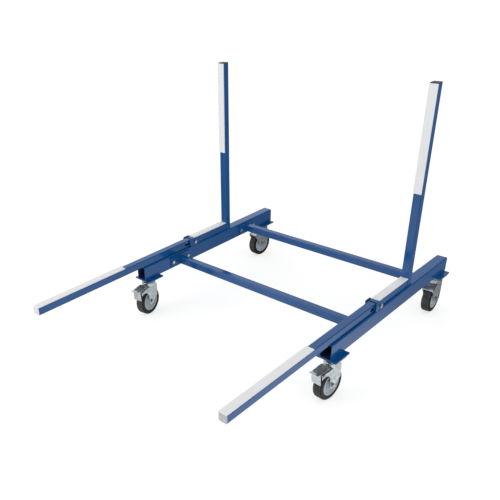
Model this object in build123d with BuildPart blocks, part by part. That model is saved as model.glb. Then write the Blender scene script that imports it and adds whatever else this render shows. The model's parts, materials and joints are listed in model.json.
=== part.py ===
"""Flip trolley: two rails on casters, two posts, and two arms that flip up. White strips guard the load.

Millimetres. +X runs from the left rail to the right one, +Y to the rear, +Z up.
The origin is on the floor, under the middle of the trolley's box.
"""
from build123d import *
from math import cos, radians, sin, tan
import os

os.makedirs("parts", exist_ok=True)

# Rails
rail_spacing = 1200.0
rail_length = 1140.0
rail_width = 60.0
rail_height = 80.0
rail_wall = 3.0
rail_inner_radius = 3.0

# The square tube that arms, seats and posts are cut from
tube_size = 40.0
tube_wall = 2.5
tube_inner_radius = 1.5

# Where the tubes stand along the rails
arm_reach = 678.0
hinge_setback = 408.0
seat_depth = 288.0
post_height = 966.0

# White plastic strips and end caps
strip_thickness = 5.0
strip_edge_radius = 1.2
arm_strip_length = 553.0
post_strip_length = 484.0
seat_strip_setback = 3.0
seat_strip_end_gap = 1.0
cap_thickness = 4.0
cap_plug_depth = 18.0
cap_plug_wall = 2.0
cap_clearance = 0.1
cap_edge_radius = 1.5

# Crossbars between the rails
bar_size = 40.0
bar_wall = 2.5
bar_inner_radius = 1.5
front_bar_setback = 275.0
rear_bar_setback = 258.0
flange_length = 150.0
flange_height = 60.0
flange_thickness = 6.0
flange_corner = 6.0
bar_bolt_spacing = 120.0
bar_bolt_diameter = 10.0
bar_bolt_across_flats = 17.0
bar_bolt_head = 6.4
bar_nut_height = 8.0
bar_bolt_end = 3.0

# Arm hinges
hinge_bolt_diameter = 12.0
hinge_bolt_across_flats = 19.0
hinge_bolt_head = 7.5
hinge_nut_height = 10.0
hinge_bolt_end = 2.0
hinge_bush_diameter = 18.0
hinge_washer_diameter = 32.0
hinge_washer_thickness = 4.7
hinge_side_play = 0.3
cheek_thickness = 5.0
cheek_front_margin = 2.0
cheek_floor_gap = 1.0
cheek_corner = 4.0
cheek_spacer_length = 10.0
cheek_spacer_height = 28.0
arm_swing_gap = 3.0
arm_rest_gap = 0.3
seat_nose_wall = 9.0
arm_slot_length = 34.0
arm_slot_height = 20.0
arm_slot_margin = 2.0

# Clearances
running_clearance = 0.05
thread_clearance = 0.05
bolt_hole_clearance = 0.5
swivel_gap = 0.3

# Caster mounting plates under the rail ends
mount_plate_width = 112.0
mount_plate_length = 114.0
mount_plate_thickness = 6.0
mount_plate_corner = 4.0

# Casters
caster_height = 216.0
caster_trail = 22.0
caster_outset = 5.0
top_plate_width = 100.0
top_plate_length = 85.0
top_plate_thickness = 5.0
top_plate_corner = 8.0
plate_hole_spacing_x = 80.0
plate_hole_spacing_y = 60.0
plate_bolt_diameter = 8.0
plate_bolt_across_flats = 13.0
plate_bolt_head = 5.3
plate_bolt_tip_gap = 0.5
race_diameter = 76.0
race_depth = 13.0
ball_ring_diameter = 66.0
ball_ring_height = 2.4
swivel_pin_diameter = 16.0
swivel_pin_head_diameter = 26.0
swivel_pin_head = 6.0
fork_gap = 52.0
fork_sheet = 4.0
crown_thickness = 5.0
crown_tyre_gap = 8.0
crown_rear = 33.0
fork_head_fillet = 4.0
hood_break = 38.0
hood_slope = 19.0
hood_reach_plain = 90.0
hood_reach_braked = 62.0
hood_lip = 8.0
horn_reach = 104.0
horn_depth = 31.0
horn_fall = 2.0
strut_front = 42.0
leg_shoulder = 70.0
arch_ahead = 82.0
arch_drop = 58.0
arch_radius = 39.5
axle_boss_radius = 18.0
axle_diameter = 12.0
axle_across_flats = 18.0
axle_head = 7.0
axle_nut_height = 9.0
axle_end = 2.0
axle_sleeve_diameter = 17.0
axle_sleeve_play = 0.2

# Wheels
wheel_diameter = 160.0
tyre_width = 48.0
tyre_depth = 24.0
tyre_shoulder = 9.0
tyre_seat_clearance = 0.05
tread_groove_width = 1.6
tread_groove_depth = 1.4
tread_groove_pitch = 7.0
tread_groove_count = 4
rim_width = 46.0
rim_thickness = 7.0
web_thickness = 20.0
hub_diameter = 44.0
hub_width = 48.0
hub_edge = 1.5

# Brake pedals on the front casters
pedal_pivot_ahead = 92.0
pedal_pivot_drop = 10.0
pedal_pin_diameter = 8.0
pedal_pin_head = 3.0
pedal_pin_head_diameter = 13.0
pedal_barrel_radius = 6.5
pedal_width = 48.0
pedal_sheet = 3.5
pedal_ear_sheet = 3.0
pedal_back_rise = 20.0
pedal_back_reach = 44.0
pedal_front_rise = 13.5
pedal_front_reach = 19.0
pedal_lip_rise = 17.5
pedal_lip_reach = 40.0
pedal_ear_back = 40.0
shoe_bend_drop = 19.0
shoe_bend_reach = 18.0
shoe_tip_drop = 45.0
shoe_tip_reach = 15.0

# How each caster is turned, in degrees from trailing straight to the front
caster_turn = {"front_left": 10.0, "front_right": -4.0, "rear_left": -4.0, "rear_right": 3.0}

# Places worked out from the sizes above
rail_front = (arm_reach - rail_length) / 2
rail_rear = rail_front + rail_length
rail_bottom = caster_height + mount_plate_thickness
rail_middle = rail_bottom + rail_height / 2
rail_top = rail_bottom + rail_height
arm_tip = rail_front - arm_reach
hinge_y = rail_front + hinge_setback
hinge_z = rail_top + tube_size / 2
post_front = hinge_y + seat_depth
post_top = rail_top + post_height - cap_thickness
arm_bottom = rail_top + arm_rest_gap
arm_middle = arm_bottom + tube_size / 2
arm_top = arm_bottom + tube_size
half_tube = tube_size / 2
arm_setoff = half_tube + strip_thickness + arm_swing_gap
arm_rear = hinge_y - arm_setoff
seat_nose = hinge_bush_diameter / 2 + seat_nose_wall
cheek_reach = arm_setoff + cheek_spacer_length + cheek_front_margin
cheek_inner = half_tube + hinge_washer_thickness + hinge_side_play
cheek_outer = cheek_inner + cheek_thickness
cheek_radius = half_tube - cheek_floor_gap
cheek_top = half_tube + strip_thickness
wheel_radius = wheel_diameter / 2
crown_bottom = wheel_diameter + crown_tyre_gap
crown_top = crown_bottom + crown_thickness
plate_bottom = caster_height - top_plate_thickness
race_bottom = plate_bottom - race_depth
fork_head_top = race_bottom - ball_ring_height - swivel_gap
fork_outer = fork_gap / 2 + fork_sheet
pedal_pivot_z = crown_top - pedal_pivot_drop
hood_fall = tan(radians(hood_slope))

SIDES = {"left": -rail_spacing / 2, "right": rail_spacing / 2}
BARS = {"front": rail_front + front_bar_setback, "rear": rail_rear - rear_bar_setback}
PLATES = {
    "front_left": (SIDES["left"], rail_front + mount_plate_length / 2),
    "front_right": (SIDES["right"], rail_front + mount_plate_length / 2),
    "rear_left": (SIDES["left"], rail_rear - mount_plate_length / 2),
    "rear_right": (SIDES["right"], rail_rear - mount_plate_length / 2),
}
CASTERS = {
    "front_left": (PLATES["front_left"][0] - caster_outset, PLATES["front_left"][1] - caster_outset),
    "front_right": (PLATES["front_right"][0] + caster_outset, PLATES["front_right"][1] - caster_outset),
    "rear_left": (PLATES["rear_left"][0] - caster_outset, PLATES["rear_left"][1] + caster_outset),
    "rear_right": (PLATES["rear_right"][0] + caster_outset, PLATES["rear_right"][1] + caster_outset),
}


def save(piece, label):
    """Name a finished piece and write it to its own file."""
    piece.part.label = label
    export_step(piece.part, f"parts/{label}.step")


def facing_rear(x, y, z):
    """A plane across the trolley, its first direction to the left, its second up, its normal to the rear."""
    return Plane(origin=(x, y, z), x_dir=(-1, 0, 0), z_dir=(0, 1, 0))


def facing_right(x, y, z):
    """A plane along the trolley, its first direction to the rear, its second up, its normal to the right."""
    return Plane(origin=(x, y, z), x_dir=(0, 1, 0), z_dir=(1, 0, 0))


def hollow_section(width, height, wall, inner_radius):
    """Draw a hollow box section with rounded corners in the open sketch."""
    RectangleRounded(width, height, inner_radius + wall)
    RectangleRounded(width - 2 * wall, height - 2 * wall, inner_radius, mode=Mode.SUBTRACT)


def hex_circle(across_flats):
    """The circle through a hexagon's corners."""
    return across_flats / 2 / cos(radians(30))


def drill(plane, diameter, depth):
    """Cut a round hole from a plane along its normal in the open part."""
    with BuildSketch(plane) as mouth:
        Circle(diameter / 2)
    extrude(mouth.sketch, amount=depth, mode=Mode.SUBTRACT)


def hex_bolt(plane, diameter, across_flats, head, length):
    """Add a bolt whose head stands on a plane and whose shank runs the other way, in the open part."""
    with BuildSketch(plane) as hexagon:
        RegularPolygon(hex_circle(across_flats), 6)
    extrude(hexagon.sketch, amount=head)
    with BuildSketch(plane) as shank_end:
        Circle(diameter / 2)
    extrude(shank_end.sketch, amount=-length)


def hex_nut(plane, diameter, across_flats, height):
    """Add a nut that stands on a plane, in the open part."""
    with BuildSketch(plane) as hexagon:
        RegularPolygon(hex_circle(across_flats), 6)
        Circle(diameter / 2 + thread_clearance, mode=Mode.SUBTRACT)
    extrude(hexagon.sketch, amount=height)


def end_cap(plane):
    """Add a plastic tube cap in the open part: a head on the plane, and a hollow plug behind it."""
    bore = tube_size - 2 * tube_wall - 2 * cap_clearance
    hollow = bore - 2 * cap_plug_wall
    with BuildSketch(plane) as head:
        RectangleRounded(tube_size, tube_size, tube_inner_radius + tube_wall)
    extrude(head.sketch, amount=cap_thickness)
    with BuildSketch(plane) as plug:
        RectangleRounded(bore, bore, tube_inner_radius)
        RectangleRounded(hollow, hollow, tube_inner_radius, mode=Mode.SUBTRACT)
    extrude(plug.sketch, amount=-cap_plug_depth)


# Rails, with holes in their inner walls for the crossbars' bolts
for side, x in SIDES.items():
    inner_face = x - rail_width / 2 if x > 0 else x + rail_width / 2
    with BuildPart() as rail:
        with BuildSketch(facing_rear(x, rail_front, rail_middle)):
            hollow_section(rail_width, rail_height, rail_wall, rail_inner_radius)
        extrude(amount=rail_length)
        for bar_y in BARS.values():
            for bolt_y in (bar_y - bar_bolt_spacing / 2, bar_y + bar_bolt_spacing / 2):
                hole_start = facing_right(inner_face - rail_wall * 2, bolt_y, rail_middle)
                drill(hole_start, bar_bolt_diameter + bolt_hole_clearance, rail_wall * 4)
    save(rail, f"{side}_rail")

# Crossbars, welded to the flanges that bolt on the rails' inner walls
inner_width = rail_spacing - rail_width
for end, bar_y in BARS.items():
    with BuildPart() as crossbar:
        with BuildSketch(facing_right(-inner_width / 2 + flange_thickness, bar_y, rail_middle)):
            hollow_section(bar_size, bar_size, bar_wall, bar_inner_radius)
        extrude(amount=inner_width - 2 * flange_thickness)
    save(crossbar, f"{end}_crossbar")

with BuildPart() as crossbar_flanges:
    for bar_y in BARS.values():
        for flange_x in (-inner_width / 2, inner_width / 2 - flange_thickness):
            with BuildSketch(facing_right(flange_x, bar_y, rail_middle)):
                RectangleRounded(flange_length, flange_height, flange_corner)
                with GridLocations(bar_bolt_spacing, 0, 2, 1):
                    Circle((bar_bolt_diameter + bolt_hole_clearance) / 2, mode=Mode.SUBTRACT)
            extrude(amount=flange_thickness)
save(crossbar_flanges, "crossbar_flanges")

bar_bolt_length = flange_thickness + rail_wall + bar_nut_height + bar_bolt_end
with BuildPart() as crossbar_bolts:
    for bar_y in BARS.values():
        for bolt_y in (bar_y - bar_bolt_spacing / 2, bar_y + bar_bolt_spacing / 2):
            for out in (-1, 1):
                seat_x = out * (inner_width / 2 - flange_thickness)
                head_plane = Plane(origin=(seat_x, bolt_y, rail_middle), x_dir=(0, 1, 0), z_dir=(-out, 0, 0))
                hex_bolt(head_plane, bar_bolt_diameter, bar_bolt_across_flats, bar_bolt_head, bar_bolt_length)
                nut_x = out * (inner_width / 2 + rail_wall)
                nut_plane = Plane(origin=(nut_x, bolt_y, rail_middle), x_dir=(0, 1, 0), z_dir=(out, 0, 0))
                hex_nut(nut_plane, bar_bolt_diameter, bar_bolt_across_flats, bar_nut_height)
save(crossbar_bolts, "crossbar_bolts")

# Posts with their strips and caps
for side, x in SIDES.items():
    with BuildPart() as post:
        with BuildSketch(Plane(origin=(x, post_front + half_tube, rail_top))):
            hollow_section(tube_size, tube_size, tube_wall, tube_inner_radius)
        extrude(amount=post_top - rail_top)
    save(post, f"{side}_post")

    with BuildPart() as post_cap:
        end_cap(Plane(origin=(x, post_front + half_tube, post_top)))
        fillet(post_cap.faces().sort_by(Axis.Z)[-1].edges(), cap_edge_radius)
    save(post_cap, f"{side}_post_cap")

    with BuildPart() as post_strip:
        with BuildSketch(facing_rear(x, post_front - strip_thickness, post_top - post_strip_length / 2)):
            Rectangle(tube_size, post_strip_length)
        extrude(amount=strip_thickness)
        fillet(post_strip.faces().sort_by(Axis.Y)[0].edges(), strip_edge_radius)
    save(post_strip, f"{side}_post_strip")

# Seats between the hinges and the posts
for side, x in SIDES.items():
    seat_front = hinge_y - seat_nose
    with BuildPart() as seat_tube:
        with BuildSketch(facing_rear(x, seat_front, rail_top + half_tube)):
            hollow_section(tube_size, tube_size, tube_wall, tube_inner_radius)
        extrude(amount=post_front - seat_front)
        drill(facing_right(x - tube_size, hinge_y, hinge_z), hinge_bush_diameter, 2 * tube_size)
    save(seat_tube, f"{side}_seat_tube")

    seat_strip_length = seat_depth - seat_strip_setback - seat_strip_end_gap
    seat_strip_middle = hinge_y + seat_strip_setback + seat_strip_length / 2
    with BuildPart() as seat_strip:
        with BuildSketch(Plane(origin=(x, seat_strip_middle, rail_top + tube_size))):
            Rectangle(tube_size, seat_strip_length)
        extrude(amount=strip_thickness)
        fillet(seat_strip.faces().sort_by(Axis.Z)[-1].edges(), strip_edge_radius)
    save(seat_strip, f"{side}_seat_strip")

# Hinge bolts with their nuts, the bushes welded through the seats, and the side washers
bolt_face = cheek_outer + hinge_side_play
for side, x in SIDES.items():
    with BuildPart() as hinge_bolt:
        shank = 2 * bolt_face + hinge_nut_height + hinge_bolt_end
        hex_bolt(
            facing_right(x + bolt_face, hinge_y, hinge_z),
            hinge_bolt_diameter, hinge_bolt_across_flats, hinge_bolt_head, shank,
        )
        nut_plane = Plane(origin=(x - bolt_face, hinge_y, hinge_z), x_dir=(0, 1, 0), z_dir=(-1, 0, 0))
        hex_nut(nut_plane, hinge_bolt_diameter, hinge_bolt_across_flats, hinge_nut_height)
    save(hinge_bolt, f"{side}_hinge_bolt")

with BuildPart() as hinge_bushes:
    for x in SIDES.values():
        with BuildSketch(facing_right(x - half_tube, hinge_y, hinge_z)):
            Circle(hinge_bush_diameter / 2)
            Circle(hinge_bolt_diameter / 2 + running_clearance, mode=Mode.SUBTRACT)
        extrude(amount=tube_size)
save(hinge_bushes, "hinge_bushes")

with BuildPart() as hinge_washers:
    for x in SIDES.values():
        for washer_x in (x - half_tube - hinge_washer_thickness, x + half_tube):
            with BuildSketch(facing_right(washer_x, hinge_y, hinge_z)):
                Circle(hinge_washer_diameter / 2)
                Circle(hinge_bolt_diameter / 2 + running_clearance, mode=Mode.SUBTRACT)
            extrude(amount=hinge_washer_thickness)
save(hinge_washers, "hinge_washers")

# Arms: tube with its slots, strip, end cap, and the cheeks that straddle the seat
for side, x in SIDES.items():
    slot_middle = hinge_y - cheek_reach - arm_slot_margin - arm_slot_length / 2
    with BuildPart() as arm_tube:
        with BuildSketch(facing_rear(x, arm_tip + cap_thickness, arm_middle)):
            hollow_section(tube_size, tube_size, tube_wall, tube_inner_radius)
        extrude(amount=arm_rear - arm_tip - cap_thickness)
        with BuildSketch(facing_right(x - tube_size, slot_middle, arm_middle)):
            SlotOverall(arm_slot_length, arm_slot_height)
        extrude(amount=2 * tube_size, mode=Mode.SUBTRACT)
    save(arm_tube, f"{side}_arm_tube")

    with BuildPart() as arm_cap:
        end_cap(Plane(origin=(x, arm_tip + cap_thickness, arm_middle), x_dir=(1, 0, 0), z_dir=(0, -1, 0)))
        fillet(arm_cap.faces().sort_by(Axis.Y)[0].edges(), cap_edge_radius)
    save(arm_cap, f"{side}_arm_cap")

    with BuildPart() as arm_strip:
        with BuildSketch(Plane(origin=(x, arm_tip + arm_strip_length / 2, arm_top))):
            Rectangle(tube_size, arm_strip_length)
        extrude(amount=strip_thickness)
        fillet(arm_strip.faces().sort_by(Axis.Z)[-1].edges(), strip_edge_radius)
    save(arm_strip, f"{side}_arm_strip")

    with BuildPart() as arm_cheeks:
        for cheek_x in (x - cheek_outer, x + cheek_inner):
            with BuildSketch(facing_right(cheek_x, hinge_y, hinge_z)) as cheek_outline:
                with Locations((-cheek_reach / 2, (cheek_top - cheek_radius) / 2)):
                    Rectangle(cheek_reach, cheek_top + cheek_radius)
                Circle(cheek_radius)
                make_hull()
                fillet(cheek_outline.vertices().group_by(Axis.X)[0], cheek_corner)
                Circle(hinge_bolt_diameter / 2 + running_clearance, mode=Mode.SUBTRACT)
            extrude(amount=cheek_thickness)
        for spacer_x in (x - cheek_inner, x + half_tube):
            spacer_y = arm_rear - cheek_spacer_length / 2
            with BuildSketch(facing_right(spacer_x, spacer_y, arm_middle)):
                Rectangle(cheek_spacer_length, cheek_spacer_height)
            extrude(amount=cheek_inner - half_tube)
    save(arm_cheeks, f"{side}_arm_cheeks")

# Caster mounting plates, welded under the rails' ends
for corner, (x, y) in CASTERS.items():
    with BuildPart() as mount_plate:
        with BuildSketch(Plane.XY.offset(caster_height)):
            with Locations(PLATES[corner]):
                RectangleRounded(mount_plate_width, mount_plate_length, mount_plate_corner)
            with Locations((x, y)):
                with GridLocations(plate_hole_spacing_x, plate_hole_spacing_y, 2, 2):
                    Circle(plate_bolt_diameter / 2 + thread_clearance, mode=Mode.SUBTRACT)
        extrude(amount=mount_plate_thickness)
    save(mount_plate, f"{corner}_mount_plate")

    with BuildPart() as top_plate:
        with BuildSketch(Plane.XY.offset(plate_bottom)):
            with Locations((x, y)):
                RectangleRounded(top_plate_width, top_plate_length, top_plate_corner)
                with GridLocations(plate_hole_spacing_x, plate_hole_spacing_y, 2, 2):
                    Circle((plate_bolt_diameter + bolt_hole_clearance) / 2, mode=Mode.SUBTRACT)
        extrude(amount=top_plate_thickness)
        with BuildSketch(Plane.XY.offset(race_bottom)):
            with Locations((x, y)):
                Circle(race_diameter / 2)
        extrude(amount=race_depth)
        drill(
            Plane(origin=(x, y, race_bottom)),
            swivel_pin_diameter + 2 * running_clearance, race_depth + top_plate_thickness,
        )
    save(top_plate, f"{corner}_top_plate")

with BuildPart() as plate_bolts:
    for x, y in CASTERS.values():
        for dx in (-plate_hole_spacing_x / 2, plate_hole_spacing_x / 2):
            for dy in (-plate_hole_spacing_y / 2, plate_hole_spacing_y / 2):
                under_plate = Plane(origin=(x + dx, y + dy, plate_bottom), x_dir=(1, 0, 0), z_dir=(0, 0, -1))
                hex_bolt(
                    under_plate, plate_bolt_diameter, plate_bolt_across_flats,
                    plate_bolt_head, top_plate_thickness + mount_plate_thickness - plate_bolt_tip_gap,
                )
save(plate_bolts, "caster_plate_bolts")

# Swivel pins and ball rings, held by the top plates
pin_head_top = crown_bottom - swivel_gap
with BuildPart() as swivel_pins:
    for x, y in CASTERS.values():
        with BuildSketch(Plane.XY.offset(pin_head_top - swivel_pin_head)):
            with Locations((x, y)):
                Circle(swivel_pin_head_diameter / 2)
        extrude(amount=swivel_pin_head)
        with BuildSketch(Plane.XY.offset(pin_head_top)):
            with Locations((x, y)):
                Circle(swivel_pin_diameter / 2)
        extrude(amount=caster_height - pin_head_top)
save(swivel_pins, "swivel_pins")

with BuildPart() as ball_rings:
    for x, y in CASTERS.values():
        with BuildSketch(Plane.XY.offset(race_bottom - ball_ring_height)):
            with Locations((x, y)):
                Circle(ball_ring_diameter / 2)
                Circle(swivel_pin_diameter / 2 + running_clearance, mode=Mode.SUBTRACT)
        extrude(amount=ball_ring_height)
save(ball_rings, "swivel_ball_rings")

# Forks, axles, wheels and brakes, each built on planes that turn with its caster
for corner, (x, y) in CASTERS.items():
    turn = radians(caster_turn[corner])
    axle_dir = Vector(cos(turn), sin(turn), 0)
    rear_dir = Vector(-sin(turn), cos(turn), 0)
    swivel_foot = Vector(x, y, 0)
    wheel_middle = swivel_foot - rear_dir * caster_trail + Vector(0, 0, wheel_radius)
    braked = corner.startswith("front")

    def side_plane(offset):
        """A plane along the wheel, at an offset from the swivel axis; its sketches read (rearward, up)."""
        return Plane(origin=swivel_foot + axle_dir * offset, x_dir=rear_dir, z_dir=axle_dir)

    def wheel_plane(offset):
        """A plane along the wheel with its origin on the axle."""
        return Plane(origin=wheel_middle + axle_dir * offset, x_dir=rear_dir, z_dir=axle_dir)

    def level_plane(height):
        """A level plane whose first direction is along the axle, with its origin on the swivel axis."""
        return Plane(origin=swivel_foot + Vector(0, 0, height), x_dir=axle_dir, z_dir=(0, 0, 1))

    pivot = (-pedal_pivot_ahead, pedal_pivot_z)
    axle_spot = (-caster_trail, wheel_radius)
    hood_reach = hood_reach_braked if braked else hood_reach_plain
    hood_end = crown_top - hood_fall * (hood_reach - hood_break)
    leg_reach = horn_reach if braked else hood_reach
    leg_front_top = crown_top - (horn_fall if braked else hood_fall * (leg_reach - hood_break))
    leg_front_foot = leg_front_top - (horn_depth if braked else hood_lip)
    leg_foot = crown_top - leg_shoulder
    horn_root = crown_top - arch_drop if braked else leg_foot

    with BuildPart() as fork:
        with BuildSketch(side_plane(-fork_outer)):
            with BuildLine():
                Polyline(
                    (crown_rear, crown_top),
                    (-hood_break, crown_top),
                    (-hood_reach, hood_end),
                    (-hood_reach, hood_end - crown_thickness),
                    (-hood_break, crown_bottom),
                    (crown_rear, crown_bottom),
                    close=True,
                )
            make_face()
        extrude(amount=2 * fork_outer)
        with BuildSketch(level_plane(crown_top)):
            Circle(race_diameter / 2)
        extrude(amount=fork_head_top - crown_top)
        for leg_side in (-fork_outer, fork_gap / 2):
            with BuildSketch(side_plane(leg_side)):
                with Locations(((crown_rear - strut_front) / 2, crown_top - leg_shoulder / 2)):
                    Rectangle(crown_rear + strut_front, leg_shoulder)
                with Locations(axle_spot):
                    Circle(axle_boss_radius)
                if braked:
                    make_hull()
                with BuildLine():
                    Polyline(
                        (crown_rear, crown_top),
                        (-hood_break, crown_top),
                        (-leg_reach, leg_front_top),
                        (-leg_reach, leg_front_foot),
                        (-strut_front, horn_root),
                        (crown_rear, horn_root),
                        close=True,
                    )
                make_face()
                if braked:
                    with Locations((-arch_ahead, crown_top - arch_drop)):
                        Circle(arch_radius, mode=Mode.SUBTRACT)
                    with Locations(pivot):
                        Circle(pedal_pin_diameter / 2 + running_clearance, mode=Mode.SUBTRACT)
                else:
                    make_hull()
                with Locations(axle_spot):
                    Circle(axle_diameter / 2 + running_clearance, mode=Mode.SUBTRACT)
            extrude(amount=fork_sheet)
        drill(
            level_plane(crown_bottom),
            swivel_pin_diameter + 2 * running_clearance, fork_head_top - crown_bottom,
        )
        fillet(fork.faces().sort_by(Axis.Z)[-1].edges().sort_by(SortBy.RADIUS)[-1], fork_head_fillet)
    save(fork, f"{corner}_fork")

    with BuildPart() as axle:
        shank = 2 * fork_outer + axle_nut_height + axle_end
        hex_bolt(wheel_plane(fork_outer), axle_diameter, axle_across_flats, axle_head, shank)
        nut_plane = Plane(origin=wheel_middle - axle_dir * fork_outer, x_dir=rear_dir, z_dir=-axle_dir)
        hex_nut(nut_plane, axle_diameter, axle_across_flats, axle_nut_height)
        with BuildSketch(wheel_plane(-fork_gap / 2 + axle_sleeve_play)):
            Circle(axle_sleeve_diameter / 2)
            Circle(axle_diameter / 2 + running_clearance, mode=Mode.SUBTRACT)
        extrude(amount=fork_gap - 2 * axle_sleeve_play)
    save(axle, f"{corner}_axle")

    rim_radius = wheel_radius - tyre_depth
    half_section = Plane(origin=wheel_middle, x_dir=axle_dir, z_dir=-rear_dir)
    spin = Axis(wheel_middle, axle_dir)
    with BuildPart() as rim:
        with BuildSketch(half_section):
            with Locations((0, (hub_diameter + axle_sleeve_diameter) / 4 + running_clearance / 2)):
                Rectangle(hub_width, (hub_diameter - axle_sleeve_diameter) / 2 - running_clearance)
            with Locations((0, (rim_radius + hub_diameter / 2 - hub_edge) / 2)):
                Rectangle(web_thickness, rim_radius - hub_diameter / 2 + hub_edge)
            with Locations((0, rim_radius - rim_thickness / 2)):
                Rectangle(rim_width, rim_thickness)
        revolve(axis=spin)
    save(rim, f"{corner}_rim")

    with BuildPart() as tyre:
        with BuildSketch(half_section) as tyre_section:
            with Locations((0, wheel_radius - (tyre_depth - tyre_seat_clearance) / 2)):
                Rectangle(tyre_width, tyre_depth - tyre_seat_clearance)
            fillet(tyre_section.vertices().group_by(Axis.Y)[-1], tyre_shoulder)
            with Locations((0, wheel_radius)):
                with GridLocations(tread_groove_pitch, 0, tread_groove_count, 1):
                    Rectangle(tread_groove_width, 2 * tread_groove_depth, mode=Mode.SUBTRACT)
        revolve(axis=spin)
    save(tyre, f"{corner}_tyre")

    if not braked:
        continue

    with BuildPart() as brake_pin:
        with BuildSketch(side_plane(-fork_outer)):
            with Locations(pivot):
                Circle(pedal_pin_diameter / 2)
        extrude(amount=2 * fork_outer)
        for head_offset in (-fork_outer - pedal_pin_head, fork_outer):
            with BuildSketch(side_plane(head_offset)):
                with Locations(pivot):
                    Circle(pedal_pin_head_diameter / 2)
            extrude(amount=pedal_pin_head)
    save(brake_pin, f"{corner}_brake_pin")

    def from_pivot(reach, rise):
        """A spot in the side plane, given ahead of the pedal's pivot and above it."""
        return (pivot[0] - reach, pivot[1] + rise)

    with BuildPart() as pedal:
        with BuildSketch(side_plane(-pedal_width / 2)):
            with BuildLine() as tread:
                Polyline(
                    from_pivot(-pedal_back_reach, pedal_back_rise),
                    from_pivot(pedal_front_reach, pedal_front_rise),
                    from_pivot(pedal_lip_reach, pedal_lip_rise),
                )
            trace(tread.line, pedal_sheet)
            with BuildLine() as shoe:
                Polyline(
                    from_pivot(pedal_front_reach, pedal_front_rise),
                    from_pivot(shoe_bend_reach, -shoe_bend_drop),
                    from_pivot(shoe_tip_reach, -shoe_tip_drop),
                )
            trace(shoe.line, pedal_sheet)
            with Locations(pivot):
                Circle(pedal_barrel_radius)
                Circle(pedal_pin_diameter / 2 + running_clearance, mode=Mode.SUBTRACT)
        extrude(amount=pedal_width)
        back_share = (pedal_ear_back + pedal_front_reach) / (pedal_back_reach + pedal_front_reach)
        ear_back_rise = pedal_front_rise + back_share * (pedal_back_rise - pedal_front_rise)
        for ear_side in (-pedal_width / 2, pedal_width / 2 - pedal_ear_sheet):
            with BuildSketch(side_plane(ear_side)):
                with Locations(pivot):
                    Circle(pedal_barrel_radius)
                with BuildLine():
                    Polyline(
                        from_pivot(0, 0),
                        from_pivot(-pedal_ear_back, ear_back_rise),
                        from_pivot(pedal_front_reach, pedal_front_rise),
                        close=True,
                    )
                make_face()
                make_hull()
                with Locations(pivot):
                    Circle(pedal_pin_diameter / 2 + running_clearance, mode=Mode.SUBTRACT)
            extrude(amount=pedal_ear_sheet)
    save(pedal, f"{corner}_brake_pedal")
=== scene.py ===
"""Looks of the flip trolley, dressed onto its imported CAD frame.

Metres, in the frame of the CAD: +X from the left rail to the right one, +Y to the rear, +Z up.
Tubes, strips and caps keep their CAD shapes and get their finishes here. Plates, casters, bolts and welds
are modelled here, at the places that the frame gives.
"""

import json
import logging
import math
from dataclasses import asdict, dataclass, fields
from enum import Enum
from functools import cache

import bmesh
import bpy
from mathutils import Matrix, Vector


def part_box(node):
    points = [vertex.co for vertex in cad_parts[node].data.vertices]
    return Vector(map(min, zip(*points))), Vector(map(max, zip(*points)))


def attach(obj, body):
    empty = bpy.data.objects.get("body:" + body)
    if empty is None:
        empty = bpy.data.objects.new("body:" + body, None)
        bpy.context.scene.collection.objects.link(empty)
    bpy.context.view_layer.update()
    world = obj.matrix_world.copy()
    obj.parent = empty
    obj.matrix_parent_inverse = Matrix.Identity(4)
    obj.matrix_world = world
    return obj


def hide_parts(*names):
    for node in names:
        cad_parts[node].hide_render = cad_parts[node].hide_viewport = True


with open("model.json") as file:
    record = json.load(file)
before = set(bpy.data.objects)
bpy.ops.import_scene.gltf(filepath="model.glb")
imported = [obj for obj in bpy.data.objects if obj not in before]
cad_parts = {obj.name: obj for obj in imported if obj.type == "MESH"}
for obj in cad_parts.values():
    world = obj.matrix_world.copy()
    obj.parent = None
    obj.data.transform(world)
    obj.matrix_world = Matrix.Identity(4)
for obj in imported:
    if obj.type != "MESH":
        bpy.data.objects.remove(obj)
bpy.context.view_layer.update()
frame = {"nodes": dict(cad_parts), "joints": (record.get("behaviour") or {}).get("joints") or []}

LOG = logging.getLogger("flip_trolley")
Colour = tuple[float, float, float]
Place = tuple[float, float, float]
Span = tuple[float, float]
Outline = tuple[tuple[float, float], ...]
Profile = list[tuple[float, float]]
Spots = list[tuple[Vector, Vector]]
UP = Vector((0.0, 0.0, 1.0))

# Names of the mesh attributes that the trees and the finishes read.
AXIS = "axis"
TREAD = "tread"

# How a copied CAD mesh is merged, and which of its edges are rounded.
MERGE_REACH = 2e-6
FLAT_ANGLE = math.radians(0.6)
SHARP_ANGLE = math.radians(30.0)


class Side(Enum):
    """The two sides of the trolley, each with a rail, a post, a seat and an arm."""

    LEFT = "left"
    RIGHT = "right"


class Corner(Enum):
    """The four casters."""

    FRONT_LEFT = "front_left"
    FRONT_RIGHT = "front_right"
    REAR_LEFT = "rear_left"
    REAR_RIGHT = "rear_right"

    @property
    def braked(self) -> bool:
        """Tell whether this caster has a brake pedal."""
        return self.value.startswith("front")


class Grain(Enum):
    """Which way a strip was extruded: how often its marks repeat in a metre along x, y and z."""

    LENGTHWISE = (900.0, 2.5, 900.0)
    UPRIGHT = (900.0, 900.0, 2.5)


@dataclass(frozen=True)
class Pattern:
    """A noise: repeats in a metre, finer layers and their weight, and the span eased from 0 to 1, if any."""

    scale: float
    detail: float
    weight: float = 0.5
    eased: Span | None = None


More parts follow.
